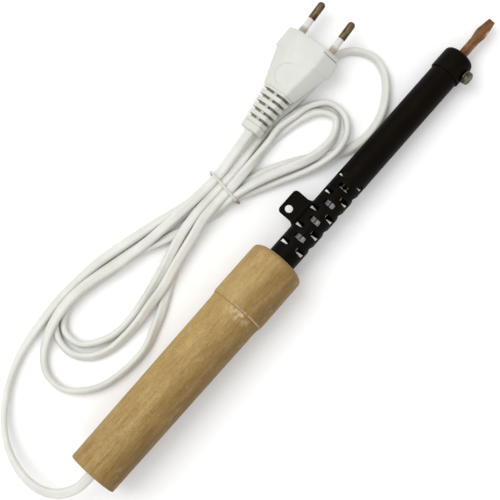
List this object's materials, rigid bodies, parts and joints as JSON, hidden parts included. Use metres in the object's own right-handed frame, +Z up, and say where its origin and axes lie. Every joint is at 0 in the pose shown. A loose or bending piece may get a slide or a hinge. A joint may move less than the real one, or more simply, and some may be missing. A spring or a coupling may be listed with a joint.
{
  "type": "soldering iron",
  "caption": "Electric soldering iron: turned wooden handle, slotted steel casing with a hanging lug, sliding copper bit with a clamp screw, and a flat mains lead tied in a hank with its plug.",
  "frame": {"origin": "centre of the iron's bounding box at the level of the bench it rests on, without its free cord, hank and plug", "axes": "+X along the iron towards its copper bit, +Z up, +Y to the side of the lug and the tied lead; the iron leans 2.6 degrees down towards its bit"},
  "size_m": [0.3253, 0.0897, 0.0337],
  "materials": {
    "wood": "turned, thin clear varnish",
    "black_steel": "satin black heat-resistant paint",
    "copper": "forged copper, dull brown oxide",
    "steel": "plain machined steel",
    "screw_steel": "zinc-plated, slightly greenish",
    "mica": "translucent mica sheet",
    "ceramic": "matt",
    "glass_fibre": "braided glass-fibre",
    "resistance_wire": "drawn wire",
    "cord_plastic": "soft PVC, slight sheen",
    "tie_plastic": "plastic-coated twist tie",
    "plug_plastic": "moulded PVC, satin",
    "sleeve_plastic": "pin sleeve",
    "pin_metal": "nickel-plated brass",
    "brown_core": "PVC insulation",
    "blue_core": "PVC insulation"
  },
  "bodies": {
    "iron_body": {"handle": "wood", "casing": "black_steel", "end_cap": "black_steel", "front_bush": "steel", "heater_core": "steel", "inner_mica": "mica", "heater_winding": "resistance_wire", "outer_mica": "mica", "heater_wrap": "glass_fibre", "rear_insulator": "ceramic", "front_insulator": "ceramic", "lead_wire_left": "resistance_wire", "lead_sleeve_left": "glass_fibre", "splice_left": "pin_metal", "splice_sleeve_left": "cord_plastic", "cord_core_left": "brown_core", "lead_wire_right": "resistance_wire", "lead_sleeve_right": "glass_fibre", "splice_right": "pin_metal", "splice_sleeve_right": "cord_plastic", "cord_core_right": "blue_core", "cord_inner_end": "cord_plastic", "cord_clamp": "steel", "handle_lead": "cord_plastic", "plug_lead": "cord_plastic", "cord_hank": "cord_plastic", "cord_tie": "tie_plastic", "plug_body": "plug_plastic", "plug_pin_left": "pin_metal", "plug_pin_right": "pin_metal", "pin_sleeve_left": "sleeve_plastic", "pin_sleeve_right": "sleeve_plastic"},
    "bit": {"soldering_bit": "copper"},
    "washer": {"screw_washer": "screw_steel"},
    "screw": {"clamp_screw": "screw_steel"}
  },
  "joints": [
    {"name": "bit_slide", "type": "slide", "parent": "iron_body", "child": "bit", "axis": [0.999, 0, -0.0458], "range_m": [-0.012, 0.06]},
    {"name": "screw_travel", "type": "slide", "parent": "iron_body", "child": "washer", "axis": [0.0119, -0.9659, 0.2585], "range_m": [0, 0.0035]},
    {"name": "screw_turn", "type": "hinge", "parent": "washer", "child": "screw", "pos_m": [0.11789, -0.01078, 0.01092], "axis": [0.0119, -0.9659, 0.2585], "range_deg": [0, 1805]}
  ],
  "couplings": [
    {"joint": "screw_turn", "follows": "screw_travel", "rad_per_m": 8976}
  ]
}
